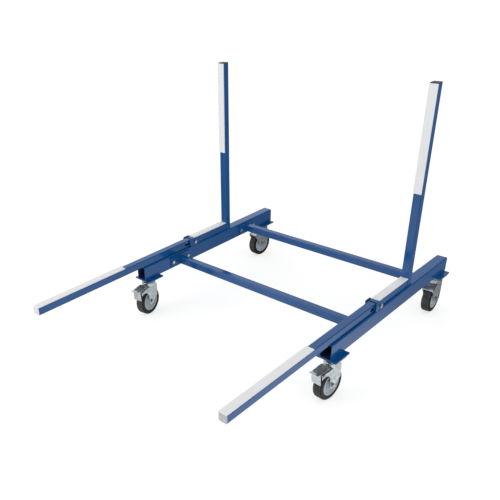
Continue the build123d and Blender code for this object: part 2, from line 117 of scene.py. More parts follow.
class Wire:
    """One output of a node. Arithmetic on it adds Math nodes to its tree."""

    def __init__(self, graph: "Graph", socket: bpy.types.NodeSocket) -> None:
        """Hold a socket and the graph that it belongs to."""
        self.graph = graph
        self.socket = socket

    def __add__(self, other: "Wire | float") -> "Wire":
        """Add a value."""
        return self.graph.math("ADD", self, other)

    def __sub__(self, other: "Wire | float") -> "Wire":
        """Take a value away."""
        return self.graph.math("SUBTRACT", self, other)

    def __rsub__(self, other: float) -> "Wire":
        """Take this away from a value."""
        return self.graph.math("SUBTRACT", other, self)

    def __mul__(self, other: "Wire | float") -> "Wire":
        """Multiply by a value."""
        return self.graph.math("MULTIPLY", self, other)

    def __truediv__(self, other: "Wire | float") -> "Wire":
        """Divide by a value."""
        return self.graph.math("DIVIDE", self, other)

    def __rtruediv__(self, other: float) -> "Wire":
        """Divide a value by this."""
        return self.graph.math("DIVIDE", other, self)

    def __lt__(self, other: "Wire | float") -> "Wire":
        """Give 1 where this is below a value, and 0 elsewhere."""
        return self.graph.math("LESS_THAN", self, other)

    def __gt__(self, other: "Wire | float") -> "Wire":
        """Give 1 where this is above a value, and 0 elsewhere."""
        return self.graph.math("GREATER_THAN", self, other)

    def __abs__(self) -> "Wire":
        """Drop the sign."""
        return self.graph.math("ABSOLUTE", self)

    __radd__ = __add__
    __rmul__ = __mul__

    def span(self, low: float, high: float) -> "Wire":
        """Ease from 0 at low to 1 at high, and hold there."""
        reach = {"Value": self, "From Min": low, "From Max": high}
        return self.graph.node("ShaderNodeMapRange", {"interpolation_type": "SMOOTHSTEP"}, reach)


class Graph:
    """A node tree that is being made, for a finish or for geometry."""

    edge_samples: int = 6
    edge_span: Span = (0.02, 0.22)

    def __init__(self, tree: bpy.types.NodeTree) -> None:
        """Hold the tree that the nodes go into."""
        self.tree = tree

    def node(
        self,
        kind: str,
        settings: dict[str, object] | None = None,
        inputs: dict[str | int, object] | None = None,
        output: str | int = 0,
    ) -> Wire | None:
        """Add one node.

        Args:
            kind: the node's type.
            settings: the node's own settings, set before its sockets.
            inputs: values or wires by socket name or number, a list of wires for a socket that takes several.
            output: the output to give back, by name or number.

        Returns:
            That output, or None for a node that has none.
        """
        made = self.tree.nodes.new(kind)
        for name, value in (settings or {}).items():
            setattr(made, name, value)
        for key, value in (inputs or {}).items():
            wires = value if isinstance(value, list) else [value]
            for wire in wires:
                if isinstance(wire, Wire):
                    self.tree.links.new(wire.socket, made.inputs[key])
                else:
                    made.inputs[key].default_value = wire
        return Wire(self, made.outputs[output]) if made.outputs else None

    def math(self, operation: str, *values: Wire | float) -> Wire:
        """Add a Math node."""
        return self.node("ShaderNodeMath", {"operation": operation}, dict(enumerate(values)))

    def part(self, vector: Wire, axis: str) -> Wire:
        """Give one axis of a vector."""
        return self.node("ShaderNodeSeparateXYZ", None, {"Vector": vector}, axis)

    def noise(self, place: Wire, pattern: Pattern) -> Wire:
        """Add a noise.

        Args:
            place: the place on the surface.
            pattern: the noise's scale and layers, and its easing.

        Returns:
            The noise, from 0 to 1.
        """
        layers = {"Detail": pattern.detail, "Roughness": pattern.weight}
        made = self.node("ShaderNodeTexNoise", None, {"Vector": place, "Scale": pattern.scale, **layers})
        return made.span(*pattern.eased) if pattern.eased else made

    def stretch(self, place: Wire, scale: tuple[float, float, float]) -> Wire:
        """Scale a place by a different number along each axis."""
        return self.node("ShaderNodeMapping", None, {"Vector": place, "Scale": scale})

    def blend(self, share: Wire, start: Wire | Colour, end: Wire | Colour) -> Wire:
        """Mix two colours by a share of the second, on the Mix node's colour sockets."""
        shades = [tone if isinstance(tone, Wire) else (*tone, 1.0) for tone in (start, end)]
        return self.node("ShaderNodeMix", {"data_type": "RGBA"}, {0: share, 6: shades[0], 7: shades[1]}, 2)

    def bump(self, height: Wire, depth: float, strength: float) -> Wire:
        """Turn a height from 0 to 1 into a normal, for relief of the given depth in metres."""
        sockets = {"Height": height, "Distance": depth, "Strength": strength}
        return self.node("ShaderNodeBump", None, sockets)

    def edges(self, radius: float) -> Wire:
        """Mark the surface near sharp edges.

        Args:
            radius: how far from an edge the mark reaches.

        Returns:
            0 on flat faces, up to 1 at an edge.
        """
        round_normal = self.node("ShaderNodeBevel", {"samples": self.edge_samples}, {"Radius": radius})
        flat_normal = self.node("ShaderNodeNewGeometry", output="Normal")
        both = {0: round_normal, 1: flat_normal}
        agree = self.node("ShaderNodeVectorMath", {"operation": "DOT_PRODUCT"}, both, "Value")
        return (1.0 - agree).span(*self.edge_span)


def toned(colour: Colour, factor: float) -> Colour:
    """Make a colour lighter or darker by a factor."""
    return tuple(min(1.0, channel * factor) for channel in colour)


@dataclass(frozen=True)
class Finish:
    """What every finish has: its name, the record's slot, its colour and its roughness."""

    name: str
    slot: str
    colour: Colour
    roughness: float

    @cache
    def material(self) -> bpy.types.Material:
        """Make the material on the first call, and give the same one on later calls.

        Returns:
            The material of this finish.
        """
        made = bpy.data.materials.new(self.name)
        made.use_nodes = True
        made.node_tree.nodes.clear()
        graph = Graph(made.node_tree)
        place = graph.node("ShaderNodeTexCoord", output="Object")
        shader = graph.node("ShaderNodeBsdfPrincipled", None, self.sockets(graph, place))
        graph.node("ShaderNodeOutputMaterial", None, {"Surface": shader})
        made.diffuse_color = (*self.colour, 1.0)
        return made

    def sockets(self, graph: Graph, place: Wire) -> dict[str | int, object]:
        """Work out the shader's sockets.

        Args:
            graph: the material's nodes.
            place: the place on the surface, in metres.

        Returns:
            Values and wires by the name of the shader's socket.
        """
        raise NotImplementedError


@dataclass(frozen=True)
class PowderCoat(Finish):
    """Powder coat: satin, with a fine orange peel, faint clouds, and thin coat along sharp edges."""

    gloss: float = 0.50
    thin: Colour = (0.05, 0.13, 0.27)
    thin_share: float = 0.55
    edge_reach: float = 0.0012
    edge_wear: Pattern = Pattern(70.0, 4.0, eased=(0.35, 0.7))
    cloud: Pattern = Pattern(4.0, 3.0, eased=(0.3, 0.7))
    cloud_tones: Span = (0.92, 1.07)
    cloud_rough: float = 0.03
    fleck: Pattern = Pattern(240.0, 3.0)
    fleck_rough: float = 0.05
    scuff: Pattern = Pattern(30.0, 5.0, 0.65, (0.62, 0.78))
    scuff_rough: float = 0.12
    peel: Pattern = Pattern(620.0, 1.0)
    peel_relief: Span = (0.00004, 0.7)

    def sockets(self, graph: Graph, place: Wire) -> dict[str | int, object]:
        """Work out the coat's sockets.

        Args:
            graph: the material's nodes.
            place: the place on the surface, in metres.

        Returns:
            Values and wires by the name of the shader's socket.
        """
        cloud = graph.noise(place, self.cloud)
        fleck = graph.noise(place, self.fleck)
        scuff = graph.noise(place, self.scuff)
        edge = graph.edges(self.edge_reach) * graph.noise(place, self.edge_wear)
        dark, light = (toned(self.colour, factor) for factor in self.cloud_tones)
        paint = graph.blend(cloud, dark, light)
        rough = self.cloud_rough * (cloud - 0.5) + self.fleck_rough * (fleck - 0.5) + self.scuff_rough * scuff
        return {
            "Base Color": graph.blend(edge * self.thin_share, paint, self.thin),
            "Roughness": self.roughness + rough,
            "Specular IOR Level": self.gloss,
            "Normal": graph.bump(graph.noise(place, self.peel), *self.peel_relief),
        }


@dataclass(frozen=True)
class RailPaint(PowderCoat):
    """Powder coat on a rail, with painted shade in its bore: the inside is coloured dark blue and made dull.
    """

    # Painted shade: the dark blue that stands for the shade inside the rail's bore.
    bore: Colour = (0.0015, 0.0240, 0.1050)
    bore_rough: float = 0.95
    outer_skin: float = 0.00275

    def sockets(self, graph: Graph, place: Wire) -> dict[str | int, object]:
        """Work out the coat's sockets, with painted shade on the bore below the outer skin.

        Args:
            graph: the material's nodes.
            place: the place on the surface, in metres.

        Returns:
            Values and wires by the name of the shader's socket.
        """
        given = super().sockets(graph, place)
        low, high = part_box("right_rail")
        middle, half = (low + high) / 2.0, (high - low) / 2.0
        inside_width = abs(abs(graph.part(place, "X")) - middle.x) < half.x - self.outer_skin
        inside_height = abs(graph.part(place, "Z") - middle.z) < half.z - self.outer_skin
        inside = inside_width * inside_height
        # Painted shade: inside the bore the coat is coloured dark blue, where the tube's walls lie in shade.
        given["Base Color"] = graph.blend(inside, given["Base Color"], self.bore)
        given["Roughness"] = given["Roughness"] * (1.0 - inside) + self.bore_rough * inside
        return given


@dataclass(frozen=True)
class StripPlastic(Finish):
    """White plastic strip: matte, with fine marks along its length, a few scuffs and soft grey smudges."""

    grain: Grain = Grain.LENGTHWISE
    marks: Pattern = Pattern(1.0, 3.0, 0.6)
    mark_rough: float = 0.14
    mark_relief: Span = (0.00003, 0.6)
    smudge: Colour = (0.67, 0.68, 0.69)
    smudges: Pattern = Pattern(9.0, 4.0, eased=(0.50, 0.80))
    smudge_share: float = 0.22
    scuff: Pattern = Pattern(1.0, 4.0, 0.7, (0.60, 0.74))
    scuff_size: float = 12.0
    scuff_share: float = 0.20
    scuff_rough: float = 0.10

    def sockets(self, graph: Graph, place: Wire) -> dict[str | int, object]:
        """Work out the strip's sockets.

        Args:
            graph: the material's nodes.
            place: the place on the surface, in metres.

        Returns:
            Values and wires by the name of the shader's socket.
        """
        marks = graph.noise(graph.stretch(place, self.grain.value), self.marks)
        coarse = tuple(repeats / self.scuff_size for repeats in self.grain.value)
        scuff = graph.noise(graph.stretch(place, coarse), self.scuff)
        soiled = self.smudge_share * graph.noise(place, self.smudges) + self.scuff_share * scuff
        return {
            "Base Color": graph.blend(soiled, self.colour, self.smudge),
            "Roughness": self.roughness + self.mark_rough * (marks - 0.5) + self.scuff_rough * scuff,
            "Normal": graph.bump(marks, *self.mark_relief),
        }


@dataclass(frozen=True)
class MouldedPlastic(Finish):
    """Moulded plastic: a fine even grain, faint flow clouds, and edges rubbed a little lighter."""

    rubbed: Colour = (0.5, 0.5, 0.5)
    rubbed_share: float = 0.4
    edge_reach: float = 0.0010
    edge_wear: Pattern = Pattern(120.0, 3.0, eased=(0.3, 0.7))
    cloud: Pattern = Pattern(22.0, 3.0, eased=(0.3, 0.75))
    cloud_tones: Span = (0.93, 1.06)
    cloud_rough: float = 0.06
    grain: Pattern = Pattern(1100.0, 2.0)
    grain_rough: float = 0.10
    grain_relief: Span = (0.00003, 0.6)

    def sockets(self, graph: Graph, place: Wire) -> dict[str | int, object]:
        """Work out the plastic's sockets.

        Args:
            graph: the material's nodes.
            place: the place on the surface, in metres.

        Returns:
            Values and wires by the name of the shader's socket.
        """
        cloud = graph.noise(place, self.cloud)
        grain = graph.noise(place, self.grain)
        edge = graph.edges(self.edge_reach) * graph.noise(place, self.edge_wear)
        dark, light = (toned(self.colour, factor) for factor in self.cloud_tones)
        tone = graph.blend(cloud, dark, light)
        return {
            "Base Color": graph.blend(edge * self.rubbed_share, tone, self.rubbed),
            "Roughness": self.roughness + self.grain_rough * (grain - 0.5) + self.cloud_rough * (cloud - 0.5),
            "Normal": graph.bump(grain, *self.grain_relief),
        }


@dataclass(frozen=True)
class ZincPlate(Finish):
    """Zinc plated steel: cloudy, with fine spangle, bright edges and dull specks."""

    dull: Colour = (0.30, 0.34, 0.36)
    bright: Colour = (0.82, 0.85, 0.86)
    bright_share: float = 0.6
    edge_reach: float = 0.0008
    metal: float = 0.92
    cloud: Pattern = Pattern(55.0, 4.0, 0.6, (0.3, 0.72))
    cloud_share: float = 0.65
    cloud_rough: float = 0.16
    spangle_scale: float = 260.0
    spangle_middle: float = 0.4
    spangle_rough: float = 0.10
    spangle_height: float = 0.4
    speck: Pattern = Pattern(330.0, 2.0, eased=(0.66, 0.78))
    speck_share: float = 0.35
    speck_rough: float = 0.10
    speck_metal: float = 0.22
    relief: Span = (0.00004, 0.5)

    def sockets(self, graph: Graph, place: Wire) -> dict[str | int, object]:
        """Work out the plating's sockets.

        Args:
            graph: the material's nodes.
            place: the place on the surface, in metres.

        Returns:
            Values and wires by the name of the shader's socket.
        """
        cloud = graph.noise(place, self.cloud)
        speck = graph.noise(place, self.speck)
        cells = {"Vector": place, "Scale": self.spangle_scale}
        spangle = graph.node("ShaderNodeTexVoronoi", None, cells, "Distance")
        tone = graph.blend(cloud * self.cloud_share + speck * self.speck_share, self.colour, self.dull)
        rough = self.cloud_rough * (cloud - 0.5) + self.spangle_rough * (spangle - self.spangle_middle)
        return {
            "Base Color": graph.blend(graph.edges(self.edge_reach) * self.bright_share, tone, self.bright),
            "Roughness": self.roughness + rough + self.speck_rough * speck,
            "Metallic": self.metal - self.speck_metal * speck,
            "Normal": graph.bump(cloud + spangle * self.spangle_height, *self.relief),
        }


@dataclass(frozen=True)
class TyreRubber(Finish):
    """Tyre rubber: dark, rubbed grey on the ribs of the tread, with a fine moulded grain."""

    gloss: float = 0.30
    dust: Colour = (0.044, 0.044, 0.043)
    dust_share: float = 0.45
    rubbed: Colour = (0.115, 0.115, 0.115)
    least_rubbed: float = 0.45
    cloud: Pattern = Pattern(35.0, 5.0, 0.62, (0.35, 0.72))
    cloud_rough: float = 0.12
    grain: Pattern = Pattern(900.0, 3.0)
    grain_rough: float = 0.10
    grain_relief: Span = (0.00006, 0.6)

    def sockets(self, graph: Graph, place: Wire) -> dict[str | int, object]:
        """Work out the rubber's sockets, from the tyre's own mark of its tread too.

        Args:
            graph: the material's nodes.
            place: the place on the surface, in metres.

        Returns:
            Values and wires by the name of the shader's socket.
        """
        cloud = graph.noise(place, self.cloud)
        grain = graph.noise(place, self.grain)
        tread = graph.node("ShaderNodeAttribute", {"attribute_name": TREAD}, output="Fac")
        worn = tread * (self.least_rubbed + (1.0 - self.least_rubbed) * cloud)
        tone = graph.blend(self.dust_share * cloud, self.colour, self.dust)
        return {
            "Base Color": graph.blend(worn, tone, self.rubbed),
            "Roughness": self.roughness + self.cloud_rough * (cloud - 0.5) + self.grain_rough * (grain - 0.5),
            "Specular IOR Level": self.gloss,
            "Normal": graph.bump(grain, *self.grain_relief),
        }


BLUE = (0.0030, 0.0840, 0.2800)
WHITE = (0.89, 0.905, 0.92)
PAINT = PowderCoat("blue_powder_coat", "blue_paint", BLUE, 0.14)
RAIL_PAINT = RailPaint("blue_rail_coat", "blue_paint", BLUE, 0.14)
STRIP_LONG = StripPlastic("white_strip_lengthwise", "white_strip", WHITE, 0.46)
STRIP_TALL = StripPlastic("white_strip_upright", "white_strip", WHITE, 0.46, Grain.UPRIGHT)
ARM_CAP = MouldedPlastic("white_cap_plastic", "white_cap", (0.78, 0.79, 0.80), 0.42, (0.86, 0.87, 0.88))
# Painted shade: the same white cap plastic coloured grey, for the right arm's cap whose front face falls in
# shade.
SHADED_RIGHT_CAP = MouldedPlastic("grey_cap_plastic", "white_cap", (0.57, 0.58, 0.59), 0.46, (0.66, 0.67, 0.68))
POST_CAP = MouldedPlastic("dark_cap_plastic", "dark_cap", (0.050, 0.056, 0.066), 0.48, (0.14, 0.15, 0.17))
RIM = MouldedPlastic("grey_rim_plastic", "rim_plastic", (0.47, 0.54, 0.58), 0.46, (0.64, 0.69, 0.72))
TYRE = TyreRubber("dark_tyre_rubber", "tyre_rubber", (0.0098, 0.0100, 0.0103), 0.60)
ZINC = ZincPlate("zinc_plate", "zinc_steel", (0.62, 0.67, 0.69), 0.26)
BRIGHT_ZINC = ZincPlate(
    "bright_zinc", "zinc_steel", (0.64, 0.72, 0.78), 0.24,
    dull=(0.50, 0.57, 0.62), bright=(0.78, 0.84, 0.88),
)
# Painted shade: zinc coloured dark for the pedals' treads, which sit in shade under the mount plates.
PEDAL_SHADE_ZINC = ZincPlate(
    "worn_zinc", "zinc_steel", (0.22, 0.24, 0.25), 0.36,
    dull=(0.10, 0.11, 0.12), bright=(0.42, 0.45, 0.46),
)
# Painted shade: near-black zinc for the ball rings, which sit recessed in the shaded gap of the swivel heads.
RING_SHADE_ZINC = ZincPlate(
    "greased_ring", "zinc_steel", (0.085, 0.085, 0.085), 0.42,
    dull=(0.04, 0.04, 0.04), bright=(0.22, 0.22, 0.22),
)


@dataclass(frozen=True)
class BoltSizes:
    """Sizes of one kind of bolt: washer on the seat, head on the washer, nut a grip below the seat."""

    across: float
    head: float
    washer: float
    washer_radius: float
    shank_radius: float
    shank: float
    grip: float
    nut: float


CROSSBAR_BOLT = BoltSizes(
    across=0.017, head=0.0064, washer=0.0006, washer_radius=0.0078,
    shank_radius=0.005, shank=0.020, grip=0.009, nut=0.008,
)
AXLE_BOLT = BoltSizes(
    across=0.018, head=0.007, washer=0.0016, washer_radius=0.012,
    shank_radius=0.006, shank=0.071, grip=0.060, nut=0.009,
)


class Grower(Graph):
    """A Geometry Nodes tree with named sizes, run to make one plain mesh for a body."""

    seed: int = 7

    def __init__(self, name: str, sizes: tuple[str, ...]) -> None:
        """Start a tree that takes a base mesh, sizes in metres, a seed and a finish.

        Args:
            name: the tree's name.
            sizes: the names of its sizes.
        """
        super().__init__(bpy.data.node_groups.new(name, "GeometryNodeTree"))
        sockets = [("Base", "Geometry"), *((size, "Float") for size in sizes)]
        for socket, kind in [*sockets, ("Seed", "Int"), ("Finish", "Material")]:
            self.tree.interface.new_socket(socket, in_out="INPUT", socket_type="NodeSocket" + kind)
        self.tree.interface.new_socket("Mesh", in_out="OUTPUT", socket_type="NodeSocketGeometry")

    def given(self, name: str) -> Wire:
        """Give one of the tree's own inputs."""
        return self.node("NodeGroupInput", output=name)

    def random(self, low: float, high: float) -> Wire:
        """Draw a number for each point from the tree's seed, on the Random Value node's float sockets."""
        ends = {2: low, 3: high, 8: self.given("Seed")}
        return self.node("FunctionNodeRandomValue", {"data_type": "FLOAT"}, ends, 1)

    def raised(self, shape: Wire, height: Wire | float) -> Wire:
        """Move a shape up by a height."""
        shift = self.node("ShaderNodeCombineXYZ", None, {"Z": height})
        return self.node("GeometryNodeTransform", None, {"Geometry": shape, "Translation": shift})

    def standing(self, shape: Wire) -> Wire:
        """Stand a shape on each point of the base.

        Args:
            shape: the shape, about the origin and along +Z.

        Returns:
            The shapes, with +Z along the direction that each point holds.
        """
        read = {"data_type": "FLOAT_VECTOR"}
        along = self.node("GeometryNodeInputNamedAttribute", read, {"Name": AXIS})
        turn = self.node("FunctionNodeAlignRotationToVector", {"axis": "Z"}, {"Vector": along})
        spots = {"Points": self.given("Base"), "Instance": shape, "Rotation": turn}
        return self.node("GeometryNodeInstanceOnPoints", None, spots)

    def close(self, shape: Wire) -> None:
        """End the tree with plain geometry in the given finish.

        Args:
            shape: what the tree has made.
        """
        plain = self.node("GeometryNodeRealizeInstances", None, {"Geometry": shape})
        dressed = {"Geometry": plain, "Material": self.given("Finish")}
        self.node("NodeGroupOutput", None, {"Mesh": self.node("GeometryNodeSetMaterial", None, dressed)})

    def grow(self, base: bpy.types.Mesh, finish: Finish, sizes: dict[str, float]) -> bpy.types.Mesh:
        """Run the tree on a base mesh.

        Args:
            base: the points or paths to grow from.
            finish: the finish of the result.
            sizes: the tree's sizes by name.

        Returns:
            The result as a plain mesh.
        """
        holder = bpy.data.objects.new("grow_" + self.tree.name, base)
        bpy.context.scene.collection.objects.link(holder)
        modifier = holder.modifiers.new("grow", "NODES")
        modifier.node_group = self.tree
        values = {**sizes, "Seed": self.seed, "Finish": finish.material()}
        for item in self.tree.interface.items_tree:
            if item.in_out == "INPUT" and item.name in values:
                modifier[item.identifier] = values[item.name]
        graph = bpy.context.evaluated_depsgraph_get()
        mesh = bpy.data.meshes.new_from_object(holder.evaluated_get(graph), depsgraph=graph)
        holder.modifiers.remove(modifier)
        bpy.data.objects.remove(holder)
        return mesh


class WeldBeads(Grower):
    """Weld beads along paths: round beads whose thickness ripples as a welder lays them."""

    sides: int = 7
    steps_in_pitch: float = 4.0
    uneven: float = 0.06

    def __init__(self) -> None:
        """Build the tree."""
        super().__init__("weld_beads", ("radius", "pitch", "ripple"))
        path = self.node("GeometryNodeMeshToCurve", None, {"Mesh": self.given("Base")})
        step = {"Curve": path, "Length": self.given("pitch") / self.steps_in_pitch}
        path = self.node("GeometryNodeResampleCurve", {"mode": "LENGTH"}, step)
        along = self.node("GeometryNodeSplineParameter", output="Length")
        wave = abs(self.math("SINE", along * math.pi / self.given("pitch")))
        swell = 1.0 - self.given("ripple") * (1.0 - wave) + self.random(-self.uneven, self.uneven)
        ring = self.node("GeometryNodeCurvePrimitiveCircle", None, {"Resolution": self.sides, "Radius": 1.0})
        thick = self.given("radius") * swell
        sweep = {"Curve": path, "Profile Curve": ring, "Scale": thick, "Fill Caps": True}
        bead = self.node("GeometryNodeCurveToMesh", None, sweep)
        self.close(self.node("GeometryNodeSetShadeSmooth", None, {"Geometry": bead}))


class HexBolts(Grower):
    """Hexagon bolts on points: chamfered head on a washer, shank, and a nut where it has a height."""

    washer_sides: int = 28
    shank_sides: int = 16
    cone_sides: int = 30
    flat_share: float = 0.475
    chamfer_slope: float = 1.73
    least_nut: float = 0.0001
    most_turn: float = 1.0

    def __init__(self) -> None:
        """Build the tree."""
        super().__init__("hex_bolts", tuple(size.name for size in fields(BoltSizes)))
        washer, head, shank, nut = (self.given(size) for size in ("washer", "head", "shank", "nut"))
        ring = self._round("washer_radius", washer, self.washer_sides)
        rod = self._round("shank_radius", shank, self.shank_sides)
        end = self.raised(self._hexagon(nut), 0.0 - self.given("grip") - nut / 2.0)
        chosen = {"Switch": nut > self.least_nut, "True": end}
        parts = [
            self.raised(ring, washer / 2.0),
            self.raised(self._hexagon(head), washer + head / 2.0),
            self.raised(rod, 0.0 - shank / 2.0),
            self.node("GeometryNodeSwitch", {"input_type": "GEOMETRY"}, chosen),
        ]
        bolt = self.node("GeometryNodeJoinGeometry", None, {"Geometry": parts})
        turn = self.node("ShaderNodeCombineXYZ", None, {"Z": self.random(0.0, self.most_turn)})
        turned = {"Instances": self.standing(bolt), "Rotation": turn}
        self.close(self.node("GeometryNodeRotateInstances", None, turned))

    def _round(self, radius: str, depth: Wire, sides: int) -> Wire:
        """Make a round disc or shank about the origin."""
        sockets = {"Vertices": sides, "Radius": self.given(radius), "Depth": depth}
        return self.node("GeometryNodeMeshCylinder", None, sockets)

    def _hexagon(self, tall: Wire) -> Wire:
        """Make a hexagon about the origin, its upper corners turned off at 30 degrees.

        Args:
            tall: its height.

        Returns:
            The hexagon.
        """
        across = self.given("across")
        prism = {"Vertices": 6, "Radius": across / math.sqrt(3.0), "Depth": tall}
        flat = across * self.flat_share
        ends = {"Radius Top": flat, "Radius Bottom": flat + tall * self.chamfer_slope}
        cone = {"Vertices": self.cone_sides, "Depth": tall, **ends}
        both = [
            self.node("GeometryNodeMeshCylinder", None, prism),
            self.raised(self.node("GeometryNodeMeshCone", None, cone), 0.0 - tall / 2.0),
        ]
        return self.node("GeometryNodeMeshBoolean", {"operation": "INTERSECT", "solver": "EXACT"}, {1: both})


class RoundBars(Grower):
    """Round bars on points: the ribs of a pedal's tread, and the discs of paint over bolt tips."""

    sides: int = 10

    def __init__(self) -> None:
        """Build the tree."""
        super().__init__("round_bars", ("radius", "length"))
        sockets = {"Vertices": self.sides, "Radius": self.given("radius"), "Depth": self.given("length")}
        self.close(self.standing(self.node("GeometryNodeMeshCylinder", None, sockets)))


def points_mesh(spots: Spots) -> bpy.types.Mesh:
    """Make a mesh of loose points, each with a direction.

    Args:
        spots: place and direction of each point.

    Returns:
        The mesh, with the directions in an attribute.
    """
    mesh = bpy.data.meshes.new("points")
    mesh.from_pydata([place for place, _ in spots], [], [])
    axis = mesh.attributes.new(AXIS, "FLOAT_VECTOR", "POINT")
    for entry, (_, direction) in zip(axis.data, spots):
        entry.vector = direction
    return mesh


def paths_mesh(paths: list[list[Vector]]) -> bpy.types.Mesh:
    """Make a mesh of open paths.

    Args:
        paths: the points of each path.

    Returns:
        A mesh of edges alone.
    """
    spots: list[Vector] = []
    links: list[tuple[int, int]] = []
    for path in paths:
        start = len(spots)
        spots.extend(path)
        links.extend((start + step, start + step + 1) for step in range(len(path) - 1))
    mesh = bpy.data.meshes.new("paths")
    mesh.from_pydata(spots, links, [])
    return mesh


def cad_copy(node: str) -> bmesh.types.BMesh:
    """Copy a CAD node's mesh, with its triangles merged into whole faces.

    Args:
        node: the name of the node.

    Returns:
        The copy, to be changed freely.
    """
    work = bmesh.new()
    work.from_mesh(frame["nodes"][node].data)
    bmesh.ops.remove_doubles(work, verts=work.verts, dist=MERGE_REACH)
    bmesh.ops.dissolve_limit(work, angle_limit=FLAT_ANGLE, verts=work.verts, edges=work.edges)
    return work


def softened(node: str, width: float) -> bpy.types.Mesh:
    """Copy a CAD node and round its sharp edges.

    Args:
        node: the name of the node.
        width: how far each rounding reaches onto the faces.

    Returns:
        The rounded mesh.
    """
    work = cad_copy(node)
    edges = [edge for edge in work.edges if edge.is_manifold and edge.calc_face_angle() > SHARP_ANGLE]
    rounding = {"offset": width, "segments": 2, "profile": 0.6, "affect": "EDGES", "clamp_overlap": True}
    bmesh.ops.bevel(work, geom=edges, **rounding)
    return as_mesh(work, node + "_soft")


def lathe(profile: Profile, place: Matrix, turns: Profile, tread: float) -> bpy.types.Mesh:
    """Turn a closed profile round an axle.

    Args:
        profile: points as distance along the axle and radius.
        place: where the axle is: its +X is the axle, its origin the wheel's middle.
        turns: each step's angle, and how far the tread is cut in there.
        tread: the radius above which a point is on the tread.

    Returns:
        The turned mesh, with an attribute of 1 on the tread and 0 elsewhere.
    """
    work = bmesh.new()
    rings, marks = [], []
    for angle, cut in turns:
        spin = Vector((0.0, math.cos(angle), math.sin(angle)))
        ring = []
        for along, radius in profile:
            reach = radius - cut if radius > tread else radius
            ring.append(work.verts.new(place @ (Vector((along, 0.0, 0.0)) + reach * spin)))
            marks.append(1.0 if radius > tread and cut == 0.0 else 0.0)
        rings.append(ring)
    for ring, following in zip(rings, rings[1:] + rings[:1]):
        for index in range(len(profile)):
            after = (index + 1) % len(profile)
            work.faces.new((ring[index], ring[after], following[after], following[index]))
    bmesh.ops.recalc_face_normals(work, faces=work.faces)
    mesh = as_mesh(work, "turned")
    mesh.attributes.new(TREAD, "FLOAT", "POINT").data.foreach_set("value", marks)
    return mesh


def as_mesh(work: bmesh.types.BMesh, name: str, smooth_below: float = 32.0) -> bpy.types.Mesh:
    """Turn a working mesh into a plain one, smooth except at corners.

    Args:
        work: the working mesh, which is freed.
        name: the name of the new mesh.
        smooth_below: the angle in degrees under which an edge is smooth.

    Returns:
        The new mesh.
    """
    mesh = bpy.data.meshes.new(name)
    work.to_mesh(mesh)
    work.free()
    mesh.shade_smooth()
    mesh.set_sharp_from_angle(angle=math.radians(smooth_below))
    return mesh


def add_piece(
    name: str, mesh: bpy.types.Mesh, body: str, finish: Finish, nodes: tuple[str, ...] = ()
) -> None:
    """Put a mesh into the scene as a piece on a body.

    Args:
        name: the piece's name.
        mesh: its mesh, in place.
        body: the body that it moves with.
        finish: its finish.
        nodes: the CAD nodes that it stands for.
    """
    mesh.materials.clear()
    mesh.materials.append(finish.material())
    piece = bpy.data.objects.new(name, mesh)
    bpy.context.scene.collection.objects.link(piece)
    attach(piece, body)
    if nodes:
        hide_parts(*nodes)
    LOG.info("%s rides on %s with %d faces", name, body, len(mesh.polygons))


def dress(finish: Finish, *nodes: str) -> None:
    """Give CAD nodes a finish.

    Args:
        finish: the finish.
        nodes: the names of the nodes.
    """
    for node in nodes:
        data = frame["nodes"][node].data
        data.materials.clear()
        data.materials.append(finish.material())
        LOG.info("%s keeps its CAD shape in %s", node, finish.name)


def joint(name: str) -> tuple[Vector, Vector]:
    """Find a joint of the frame.

    Args:
        name: the joint's name.

    Returns:
        Its place and its axis.
    """
    found = next(entry for entry in frame["joints"] if entry["name"] == name)
    return Vector(found["pos_m"]), Vector(found["axis"]).normalized()


def axle_frame(middle: Vector, axle: Vector) -> Matrix:
    """Give the frame of an axle: +X along it, +Z up, and +Y away from the way that the caster trails."""
    turn = Matrix((axle, UP.cross(axle), UP)).transposed().to_4x4()
    return Matrix.Translation(middle) @ turn


def solids(node: str) -> list[tuple[Vector, Vector]]:
    """Find the separate solids of a CAD node.

    Args:
        node: the name of the node.

    Returns:
        The lowest and highest corners of each solid.
    """
    work = cad_copy(node)
    work.verts.ensure_lookup_table()
    seen: set[int] = set()
    boxes = []
    for vertex in work.verts:
        if vertex.index in seen:
            continue
        found, waiting = [], [vertex]
        seen.add(vertex.index)
        while waiting:
            current = waiting.pop()
            found.append(current.co.copy())
            for edge in current.link_edges:
                other = edge.other_vert(current)
                if other.index not in seen:
                    seen.add(other.index)
                    waiting.append(other)
        low = Vector([min(spot[axis] for spot in found) for axis in range(3)])
        high = Vector([max(spot[axis] for spot in found) for axis in range(3)])
        boxes.append((low, high))
    work.free()
    return boxes


